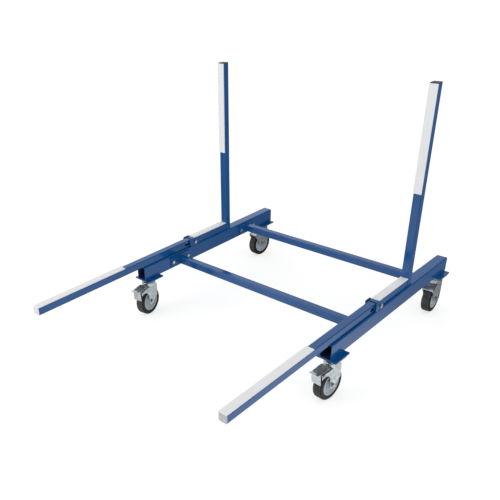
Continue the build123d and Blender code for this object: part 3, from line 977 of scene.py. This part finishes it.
@dataclass
class WeldedFrame:
    """Rails, crossbars, posts and seats, with their weld beads and bolts.

    A lift is how far a bead's middle stands off the face that it is laid on. Stitches are short beads,
    placed by their shares of the run that they lie along.
    """

    bead: float = 0.0026
    pitch: float = 0.0024
    ripple: float = 0.22
    lift: float = 0.0006
    stitch: float = 0.042
    seat_stitches: tuple[float, ...] = (0.22, 0.52, 0.82)
    seat_bead_short: float = 0.002
    plate_stitches: tuple[float, ...] = (0.25, 0.75)
    plate_lift: float = 0.0012
    plate_round: float = 0.0009
    hinge_bolt_round: float = 0.0007
    shortest_bolt: float = 0.012

    def build(self, beads: WeldBeads, bolts: HexBolts) -> None:
        """Dress the tubes, and make plates, beads and bolts.

        Args:
            beads: the tree that lays weld beads.
            bolts: the tree that sets bolts.
        """
        sides = [side.value for side in Side]
        dress(RAIL_PAINT, *(f"{side}_rail" for side in sides))
        dress(PAINT, "front_crossbar", "rear_crossbar")
        dress(PAINT, *(f"{side}_{tube}" for side in sides for tube in ("post", "seat_tube")))
        dress(STRIP_TALL, *(f"{side}_post_strip" for side in sides))
        dress(STRIP_LONG, *(f"{side}_seat_strip" for side in sides))
        dress(POST_CAP, *(f"{side}_post_cap" for side in sides))
        dress(PAINT, "hinge_bushes")
        dress(ZINC, "hinge_washers")
        flanges = softened("crossbar_flanges", self.plate_round)
        add_piece("crossbar_flange_plates", flanges, "frame", PAINT, ("crossbar_flanges",))
        for corner in Corner:
            node = f"{corner.value}_mount_plate"
            add_piece(node + "_rounded", softened(node, self.plate_round), "frame", PAINT, (node,))
        sizes = {"radius": self.bead, "pitch": self.pitch, "ripple": self.ripple}
        base = paths_mesh(self.post_paths() + self.seat_paths() + self.plate_paths() + self.bar_paths())
        add_piece("frame_weld_beads", beads.grow(base, PAINT, sizes), "frame", PAINT)
        self.build_bolts(bolts)

    def post_paths(self) -> list[list[Vector]]:
        """Lay the beads round three sides of the posts' feet.

        Returns:
            The points of each bead.
        """
        paths = []
        for side in Side:
            low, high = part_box(f"{side.value}_post")
            corners = [(low.x, low.y), (low.x, high.y), (high.x, high.y), (high.x, low.y)]
            paths.append([Vector((x, y, low.z + self.lift)) for x, y in corners])
        return paths

    def seat_paths(self) -> list[list[Vector]]:
        """Lay the stitches along the seats, and the beads that join the seats to the posts.

        Returns:
            The points of each bead.
        """
        paths = []
        for side in Side:
            low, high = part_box(f"{side.value}_seat_tube")
            for x in (low.x, high.x):
                top = high.z - self.seat_bead_short
                paths.append([Vector((x, high.y, low.z)), Vector((x, high.y, top))])
                paths += self.stitched(x, low.z + self.lift, (low.y, high.y), self.seat_stitches)
        return paths

    def plate_paths(self) -> list[list[Vector]]:
        """Lay the stitches between the mount plates and the rails, as far in as they stand off the plates.

        Returns:
            The points of each bead.
        """
        paths = []
        for corner in Corner:
            low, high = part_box(f"{corner.value}_mount_plate")
            rail_low, rail_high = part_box(corner.value.split("_")[1] + "_rail")
            for x in (rail_low.x + self.plate_lift, rail_high.x - self.plate_lift):
                paths += self.stitched(x, high.z + self.plate_lift, (low.y, high.y), self.plate_stitches)
        return paths

    def stitched(self, x: float, z: float, run: Span, shares: tuple[float, ...]) -> list[list[Vector]]:
        """Lay stitches in a row along y.

        Args:
            x: where the row is across the trolley.
            z: its height.
            run: where the row may begin and end.
            shares: the stitches' middles, as shares of the run.

        Returns:
            The points of each stitch.
        """
        paths = []
        for share in shares:
            middle = run[0] + share * (run[1] - run[0])
            ends = (middle - self.stitch / 2.0, middle + self.stitch / 2.0)
            paths.append([Vector((x, y, z)) for y in ends])
        return paths

    def bar_paths(self) -> list[list[Vector]]:
        """Lay the beads round the crossbars' ends, on their flanges.

        Returns:
            The points of each bead.
        """
        paths = []
        for bar in ("front_crossbar", "rear_crossbar"):
            low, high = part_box(bar)
            corners = [(low.y, low.z), (low.y, high.z), (high.y, high.z), (high.y, low.z), (low.y, low.z)]
            for x in (low.x + self.lift, high.x - self.lift):
                paths.append([Vector((x, y, z)) for y, z in corners])
        return paths

    def build_bolts(self, bolts: HexBolts) -> None:
        """Set the crossbars' bolts, each with its nut, and round the hinge bolts.

        Args:
            bolts: the tree that sets bolts.
        """
        spots = []
        for low, high in solids("crossbar_bolts"):
            if high.x - low.x < self.shortest_bolt:
                continue
            inward = -1.0 if low.x > 0.0 else 1.0
            seat = low.x + CROSSBAR_BOLT.head if inward < 0.0 else high.x - CROSSBAR_BOLT.head
            middle = (low + high) / 2.0
            spots.append((Vector((seat, middle.y, middle.z)), Vector((inward, 0.0, 0.0))))
        mesh = bolts.grow(points_mesh(spots), BRIGHT_ZINC, asdict(CROSSBAR_BOLT))
        add_piece("crossbar_bolt_set", mesh, "frame", BRIGHT_ZINC, ("crossbar_bolts",))
        for side in Side:
            node = f"{side.value}_hinge_bolt"
            add_piece(node + "_rounded", softened(node, self.hinge_bolt_round), "frame", BRIGHT_ZINC, (node,))


@dataclass
class FlipArm:
    """One flip arm: its tube, strip, cap and cheeks, which all turn on the hinge bolt.

    A bead stands on each side of the tube, placed from the tube's rear end and from its edges.
    """

    side: Side
    cheek_round: float = 0.0009
    bead: float = 0.0018
    pitch: float = 0.0020
    ripple: float = 0.2
    lift: float = 0.0004
    from_end: float = 0.0105
    from_edge: float = 0.008

    def build(self, beads: WeldBeads) -> None:
        """Dress the arm, and make its cheeks and the upright beads that hold them.

        Args:
            beads: the tree that lays weld beads.
        """
        name = self.side.value
        body = f"{name}_arm"
        dress(PAINT, f"{name}_arm_tube")
        dress(STRIP_LONG, f"{name}_arm_strip")
        # Painted shade: the right arm's cap gets a grey-shaded copy of the white cap plastic.
        dress(ARM_CAP if self.side is Side.LEFT else SHADED_RIGHT_CAP, f"{name}_arm_cap")
        cheeks = f"{name}_arm_cheeks"
        add_piece(cheeks + "_rounded", softened(cheeks, self.cheek_round), body, PAINT, (cheeks,))
        low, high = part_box(f"{name}_arm_tube")
        y, heights = high.y - self.from_end, (low.z + self.from_edge, high.z - self.from_edge)
        paths = [[Vector((x, y, z)) for z in heights] for x in (low.x - self.lift, high.x + self.lift)]
        sizes = {"radius": self.bead, "pitch": self.pitch, "ripple": self.ripple}
        add_piece(f"{name}_arm_weld_beads", beads.grow(paths_mesh(paths), PAINT, sizes), body, PAINT)


@dataclass
class Caster:
    """One swivel caster: plate, fork, axle and wheel, and a brake pedal at the front.

    The wheel's sections are drawn as distance along the axle and radius, on the right half. A wall, a
    rounding or a fillet is a row of points from the corner that it shapes.
    """

    corner: Corner
    plate_round: float = 0.0007
    sheet_round: float = 0.0010
    wheel_radius: float = 0.080
    tyre_half: float = 0.024
    seat_radius: float = 0.056
    wall: Outline = ((-0.0050, 0.0), (-0.0018, 0.0012), (-0.0005, 0.0045), (0.0, 0.0095), (-0.0002, 0.0135))
    shoulder: float = 0.009
    shoulder_steps: int = 6
    crown: float = 0.0012
    grooves: int = 4
    groove_pitch: float = 0.007
    groove_half: float = 0.0014
    groove_floor: float = 0.6
    groove_depth: float = 0.0020
    sipes: int = 44
    sipe_half: float = 0.0014
    sipe_depth: float = 0.0012
    rim_steps: int = 80
    rim_half: float = 0.023
    rim_gap: float = 0.00005
    ring_radius: float = 0.0507
    web_half: float = 0.010
    hub_half: float = 0.024
    hub_radius: float = 0.022
    bore_radius: float = 0.0086
    bore_chamfer: float = 0.0012
    hub_rounding: Outline = ((0.0, -0.0035), (-0.0010, -0.0012), (-0.0030, 0.0))
    hub_fillet: Outline = ((0.0040, 0.0010), (0.0012, 0.0028), (0.0, 0.0060))
    ring_fillet: Outline = ((0.0, -0.0077), (0.0014, -0.0045), (0.0044, -0.0027))
    ring_rounding: Outline = ((-0.0016, -0.0018), (-0.0004, -0.0012), (0.0, 0.0))
    seat_rounding: Outline = ((0.0, -0.0016), (-0.0006, -0.0004), (-0.0020, 0.0))

    def build(self, bolts: HexBolts, bars: RoundBars) -> None:
        """Make every piece of the caster.

        Args:
            bolts: the tree that sets bolts.
            bars: the tree that lays round bars.
        """
        name = self.corner.value
        swivel = f"{name}_swivel"
        plate = f"{name}_top_plate"
        add_piece(plate + "_rounded", softened(plate, self.plate_round), "frame", ZINC, (plate,))
        fork = f"{name}_fork"
        add_piece(fork + "_pressed", softened(fork, self.sheet_round), swivel, ZINC, (fork,))
        hub, axle = joint(f"{name}_wheel_spin")
        place = axle_frame(hub, axle)
        wheel = f"{name}_wheel"
        tyre = lathe(self.tyre_profile(), place, self.sipe_turns(), self.wheel_radius - self.crown)
        add_piece(f"{name}_tyre_ribbed", tyre, wheel, TYRE, (f"{name}_tyre",))
        even = [(2.0 * math.pi * step / self.rim_steps, 0.0) for step in range(self.rim_steps)]
        rim = lathe(self.rim_profile(), place, even, self.seat_radius)
        add_piece(f"{name}_rim_moulded", rim, wheel, RIM, (f"{name}_rim",))
        seat = [(hub + axle * (AXLE_BOLT.grip / 2.0), axle)]
        bolt = bolts.grow(points_mesh(seat), ZINC, asdict(AXLE_BOLT))
        add_piece(f"{name}_axle_bolt", bolt, swivel, ZINC, (f"{name}_axle",))
        if self.corner.braked:
            BrakePedal(self.corner).build(bars)

    def tyre_profile(self) -> Profile:
        """Draw the tyre's section: flat seat, bulging walls, rounded shoulders and a ribbed, crowned tread.

        Returns:
            The closed section.
        """
        half, top = self.tyre_half, self.wheel_radius
        outer = [(half + along, self.seat_radius + out) for along, out in self.wall]
        for step in range(1, self.shoulder_steps):
            angle = math.radians(90.0 * step / self.shoulder_steps)
            along = half - self.shoulder * (1.0 - math.cos(angle))
            outer.append((along, top - self.shoulder * (1.0 - math.sin(angle))))
        tread = []
        for number in range(self.grooves):
            middle = ((self.grooves - 1) / 2.0 - number) * self.groove_pitch
            edge, floor = self.groove_half, self.groove_half * self.groove_floor
            face = top - self.crown * (middle / half) ** 2
            tread += [(middle + edge, face), (middle + floor, face - self.groove_depth)]
            tread += [(middle - floor, face - self.groove_depth), (middle - edge, face)]
        return outer + tread + [(-along, radius) for along, radius in reversed(outer)]

    def sipe_turns(self) -> Profile:
        """Step round the tyre: at each sipe a thin cut across the ribs, and plain rubber between.

        Returns:
            Each step's angle and cut.
        """
        pitch = 2.0 * math.pi / self.sipes
        half = self.sipe_half / self.wheel_radius
        shares = ((0.0, self.sipe_depth), (half, 0.0), (pitch / 2.0, 0.0), (pitch - half, 0.0))
        return [(number * pitch + share, cut) for number in range(self.sipes) for share, cut in shares]

    def rim_profile(self) -> Profile:
        """Draw the rim's section: hub, dished web, and the ring that carries the tyre.

        Returns:
            The closed section.
        """
        corners = (
            (self.hub_half, self.hub_radius, self.hub_rounding),
            (self.web_half, self.hub_radius, self.hub_fillet),
            (self.web_half, self.ring_radius, self.ring_fillet),
            (self.rim_half, self.ring_radius, self.ring_rounding),
            (self.rim_half, self.seat_radius - self.rim_gap, self.seat_rounding),
        )
        chamfer = self.bore_chamfer
        right = [(self.hub_half - chamfer, self.bore_radius), (self.hub_half, self.bore_radius + chamfer)]
        for corner, radius, steps in corners:
            right += [(corner + along, radius + out) for along, out in steps]
        return right + [(-along, radius) for along, radius in reversed(right)]


@dataclass
class BrakePedal:
    """One brake pedal: pressed sheet on its pin, with a ribbed tread in zinc coloured dark as painted shade.

    The tread's ends are given as behind the pivot and above it, in the frame of the pedal's axle.
    """

    corner: Corner
    sheet_round: float = 0.0009
    pin_round: float = 0.0008
    width: float = 0.048
    sheet_half: float = 0.00175
    tread_back: Span = (0.044, 0.020)
    tread_front: Span = (-0.019, 0.0135)
    slab_thick: float = 0.0020
    slab_sunk: float = 0.0002
    slab_narrower: float = 0.002
    slab_shorter: float = 0.001
    slab_round: float = 0.0007
    ribs: int = 9
    rib_radius: float = 0.0012
    rib_shorter: float = 0.006
    rib_margin: float = 0.005

    def build(self, bars: RoundBars) -> None:
        """Make the pedal, its pin and its tread.

        Args:
            bars: the tree that lays round bars.
        """
        name = self.corner.value
        body = f"{name}_brake"
        pedal = f"{name}_brake_pedal"
        add_piece(pedal + "_pressed", softened(pedal, self.sheet_round), body, ZINC, (pedal,))
        pin = f"{name}_brake_pin"
        add_piece(pin + "_rounded", softened(pin, self.pin_round), f"{name}_swivel", ZINC, (pin,))
        pivot, axle = joint(f"{name}_brake_press")
        place = axle_frame(pivot, axle)
        back, front = Vector((0.0, *self.tread_back)), Vector((0.0, *self.tread_front))
        run = (front - back).length
        down = (front - back) / run
        out = Vector((0.0, down.z, -down.y))
        middle = (back + front) / 2.0 + out * (self.sheet_half - self.slab_sunk + self.slab_thick / 2.0)
        tilt = Matrix((Vector((1.0, 0.0, 0.0)), down, out)).transposed().to_4x4()
        slab = self.slab(place @ Matrix.Translation(middle) @ tilt, run)
        # Painted shade: the tread slab and its ribs are coloured dark zinc for the shade under the plate.
        add_piece(f"{name}_pedal_tread", slab, body, PEDAL_SHADE_ZINC)
        spots = []
        for number in range(self.ribs):
            along = self.rib_margin + number * (run - 2.0 * self.rib_margin) / (self.ribs - 1)
            spots.append((place @ (back + down * along + out * (self.sheet_half + self.slab_thick)), axle))
        sizes = {"radius": self.rib_radius, "length": self.width - self.rib_shorter}
        ribs = bars.grow(points_mesh(spots), PEDAL_SHADE_ZINC, sizes)
        add_piece(f"{name}_pedal_ribs", ribs, body, PEDAL_SHADE_ZINC)

    def slab(self, place: Matrix, run: float) -> bpy.types.Mesh:
        """Make the slab under the ribs, with rounded edges.

        Args:
            place: the frame of its middle: +X across the pedal, +Y down its slope.
            run: the length of the slope.

        Returns:
            The slab's mesh, in place.
        """
        work = bmesh.new()
        sides = (self.width - self.slab_narrower, run - self.slab_shorter, self.slab_thick, 1.0)
        bmesh.ops.create_cube(work, size=1.0, matrix=place @ Matrix.Diagonal(sides))
        bmesh.ops.bevel(work, geom=work.edges[:], offset=self.slab_round, segments=2, affect="EDGES")
        bmesh.ops.recalc_face_normals(work, faces=work.faces)
        return as_mesh(work, "tread")


@dataclass
class CasterFixings:
    """What the four casters share: plate bolts, swivel pins and ball rings."""

    bolt_round: float = 0.0005
    tip_radius: float = 0.0040
    paint: float = 0.0005

    def build(self, bars: RoundBars) -> None:
        """Dress the fixings, and fill the plates' holes over the bolts' tips with paint.

        Args:
            bars: the tree that lays round bars.
        """
        dress(ZINC, "swivel_pins")
        # Painted shade: the recessed ball rings are coloured near black.
        dress(RING_SHADE_ZINC, "swivel_ball_rings")
        bolts = softened("caster_plate_bolts", self.bolt_round)
        add_piece("caster_plate_bolt_set", bolts, "frame", ZINC, ("caster_plate_bolts",))
        spots = []
        for low, high in solids("caster_plate_bolts"):
            middle = (low + high) / 2.0
            spots.append((Vector((middle.x, middle.y, high.z + self.paint / 2.0)), UP))
        sizes = {"radius": self.tip_radius, "length": self.paint}
        add_piece("painted_bolt_tips", bars.grow(points_mesh(spots), PAINT, sizes), "frame", PAINT)


@dataclass(frozen=True)
class PhotoCamera:
    """The camera that looks as the photograph does: metres, degrees and millimetres."""

    place: Place = (1.7234, -2.1475, 1.74696)
    yaw: float = 45.06
    pitch: float = 30.40
    roll: float = -2.71
    lens: float = 43.09
    sensor: float = 36.0
    shift: Span = (0.1112, 0.1265)

    def build(self) -> None:
        """Make the camera and let the scene look through it."""
        yaw, pitch, roll = (math.radians(angle) for angle in (self.yaw, self.pitch, self.roll))
        level = math.cos(pitch)
        ahead = Vector((-math.sin(yaw) * level, math.cos(yaw) * level, -math.sin(pitch)))
        right = Vector((math.cos(yaw), math.sin(yaw), 0.0))
        above = right.cross(ahead)
        rolled_right = math.cos(roll) * right + math.sin(roll) * above
        rolled_up = math.cos(roll) * above - math.sin(roll) * right
        data = bpy.data.cameras.new("photo_camera")
        data.lens, data.sensor_width = self.lens, self.sensor
        data.shift_x, data.shift_y = self.shift
        camera = bpy.data.objects.new("photo_camera", data)
        turn = Matrix((rolled_right, rolled_up, -ahead)).transposed().to_4x4()
        camera.matrix_world = Matrix.Translation(self.place) @ turn
        bpy.context.scene.collection.objects.link(camera)
        bpy.context.scene.camera = camera


@dataclass(frozen=True)
class Lamp:
    """A soft square lamp: where it hangs, what it points at, its side and its power."""

    name: str
    place: Place
    target: Place
    side: float
    watts: float

    def build(self) -> None:
        """Hang the lamp."""
        data = bpy.data.lights.new(self.name, "AREA")
        data.energy, data.size = self.watts, self.side
        lamp = bpy.data.objects.new(self.name, data)
        lamp.location = self.place
        lamp.visible_camera = False
        toward = Vector(self.target) - Vector(self.place)
        lamp.rotation_euler = toward.to_track_quat("-Z", "Y").to_euler()
        bpy.context.scene.collection.objects.link(lamp)


@dataclass(frozen=True)
class Studio:
    """A white studio: pale floor, white surroundings, and two soft lamps.

    In mirrors alone, the ceiling and the right side are dim, and the floor is bright only in a pool in
    front of the trolley.
    """

    lamps: tuple[Lamp, ...] = (
        Lamp("right_lamp", (2.6, -0.6, 1.2), (0.4, 0.1, 0.3), 1.8, 8.0),
        Lamp("front_lamp", (-1.7, -2.7, 1.3), (-0.2, -0.2, 0.4), 1.6, 23.0),
    )
    sky: float = 0.73
    ceiling: float = 0.20
    ceiling_rise: Span = (0.60, 0.92)
    dim_side: float = 0.12
    left_turn: Span = (-0.10, 0.60)
    floor_size: float = 40.0
    floor_colour: float = 0.80
    floor_glow: float = 0.66
    floor_tone: float = 0.50
    pool: Place = (0.4, -0.7, 0.0)
    pool_reach: Span = (0.6, 2.0)
    pool_edge: float = 0.25

    def build(self) -> None:
        """Make the floor, the surroundings and the lamps."""
        self.build_floor()
        self.build_sky()
        for lamp in self.lamps:
            lamp.build()
        bpy.context.scene.view_settings.view_transform = "Standard"

    def ray(self, graph: Graph, kind: str) -> Wire:
        """Tell whether a ray is of a kind."""
        return graph.node("ShaderNodeLightPath", output=f"Is {kind} Ray")

    def seen(self, graph: Graph) -> Wire:
        """Tell rays that the camera sees, straight or in a mirror, from rays that only light things."""
        straight, mirrored, through = (self.ray(graph, kind) for kind in ("Camera", "Glossy", "Transmission"))
        return graph.math("MAXIMUM", graph.math("MAXIMUM", straight, mirrored), through)

    def build_floor(self) -> None:
        """Make the floor: white to the camera, and still taking the trolley's shadow."""
        half = self.floor_size / 2.0
        mesh = bpy.data.meshes.new("floor")
        corners = [(-half, -half, 0.0), (half, -half, 0.0), (half, half, 0.0), (-half, half, 0.0)]
        mesh.from_pydata(corners, [], [(0, 1, 2, 3)])
        material = bpy.data.materials.new("pale_floor")
        material.use_nodes = True
        material.node_tree.nodes.clear()
        graph = Graph(material.node_tree)
        plain = graph.node("ShaderNodeBsdfDiffuse", None, {"Color": (*(self.floor_colour,) * 3, 1.0)})
        ends = {0: graph.node("ShaderNodeTexCoord", output="Object"), 1: self.pool}
        away = graph.node("ShaderNodeVectorMath", {"operation": "DISTANCE"}, ends, "Value")
        outside = away.span(*self.pool_reach)
        shade = 1.0 - (1.0 - self.ray(graph, "Camera")) * outside * (1.0 - self.pool_edge)
        tone = graph.blend(shade, (0.0, 0.0, 0.0), (self.floor_tone,) * 3)
        faint = graph.node("ShaderNodeBsdfDiffuse", None, {"Color": tone})
        glow = graph.node("ShaderNodeEmission", None, {"Strength": shade * self.floor_glow})
        white = graph.node("ShaderNodeAddShader", None, {0: faint, 1: glow})
        mixed = graph.node("ShaderNodeMixShader", None, {0: self.seen(graph), 1: plain, 2: white})
        graph.node("ShaderNodeOutputMaterial", None, {"Surface": mixed})
        mesh.materials.append(material)
        floor = bpy.data.objects.new("studio_floor", mesh)
        bpy.context.scene.collection.objects.link(floor)

    def build_sky(self) -> None:
        """Make the surroundings: white, and in mirrors dim overhead and at the right."""
        world = bpy.data.worlds.new("white_studio")
        world.use_nodes = True
        world.node_tree.nodes.clear()
        graph = Graph(world.node_tree)
        toward = graph.node("ShaderNodeTexCoord", output="Generated")
        overhead = graph.part(toward, "Z").span(*self.ceiling_rise)
        left = (0.0 - graph.part(toward, "X")).span(*self.left_turn)
        above = 1.0 - (1.0 - self.ceiling) * overhead
        mirrored = above * (self.dim_side + (1.0 - self.dim_side) * left)
        shown = mirrored + self.ray(graph, "Camera") * (1.0 - mirrored)
        white = (1.0, 1.0, 1.0, 1.0)
        lit = graph.node("ShaderNodeBackground", None, {"Color": white, "Strength": self.sky})
        seen = graph.node("ShaderNodeBackground", None, {"Color": white, "Strength": shown})
        mixed = graph.node("ShaderNodeMixShader", None, {0: self.seen(graph), 1: lit, 2: seen})
        graph.node("ShaderNodeOutputWorld", None, {"Surface": mixed})
        bpy.context.scene.world = world


def main() -> None:
    """Build the trolley piece by piece, then the studio around it."""
    logging.basicConfig(level=logging.INFO, format="%(name)s: %(message)s")
    PhotoCamera().build()
    beads, bolts, bars = WeldBeads(), HexBolts(), RoundBars()
    WeldedFrame().build(beads, bolts)
    for side in Side:
        FlipArm(side).build(beads)
    CasterFixings().build(bars)
    for corner in Corner:
        Caster(corner).build(bolts, bars)
    Studio().build()


if __name__ == "__main__":
    main()
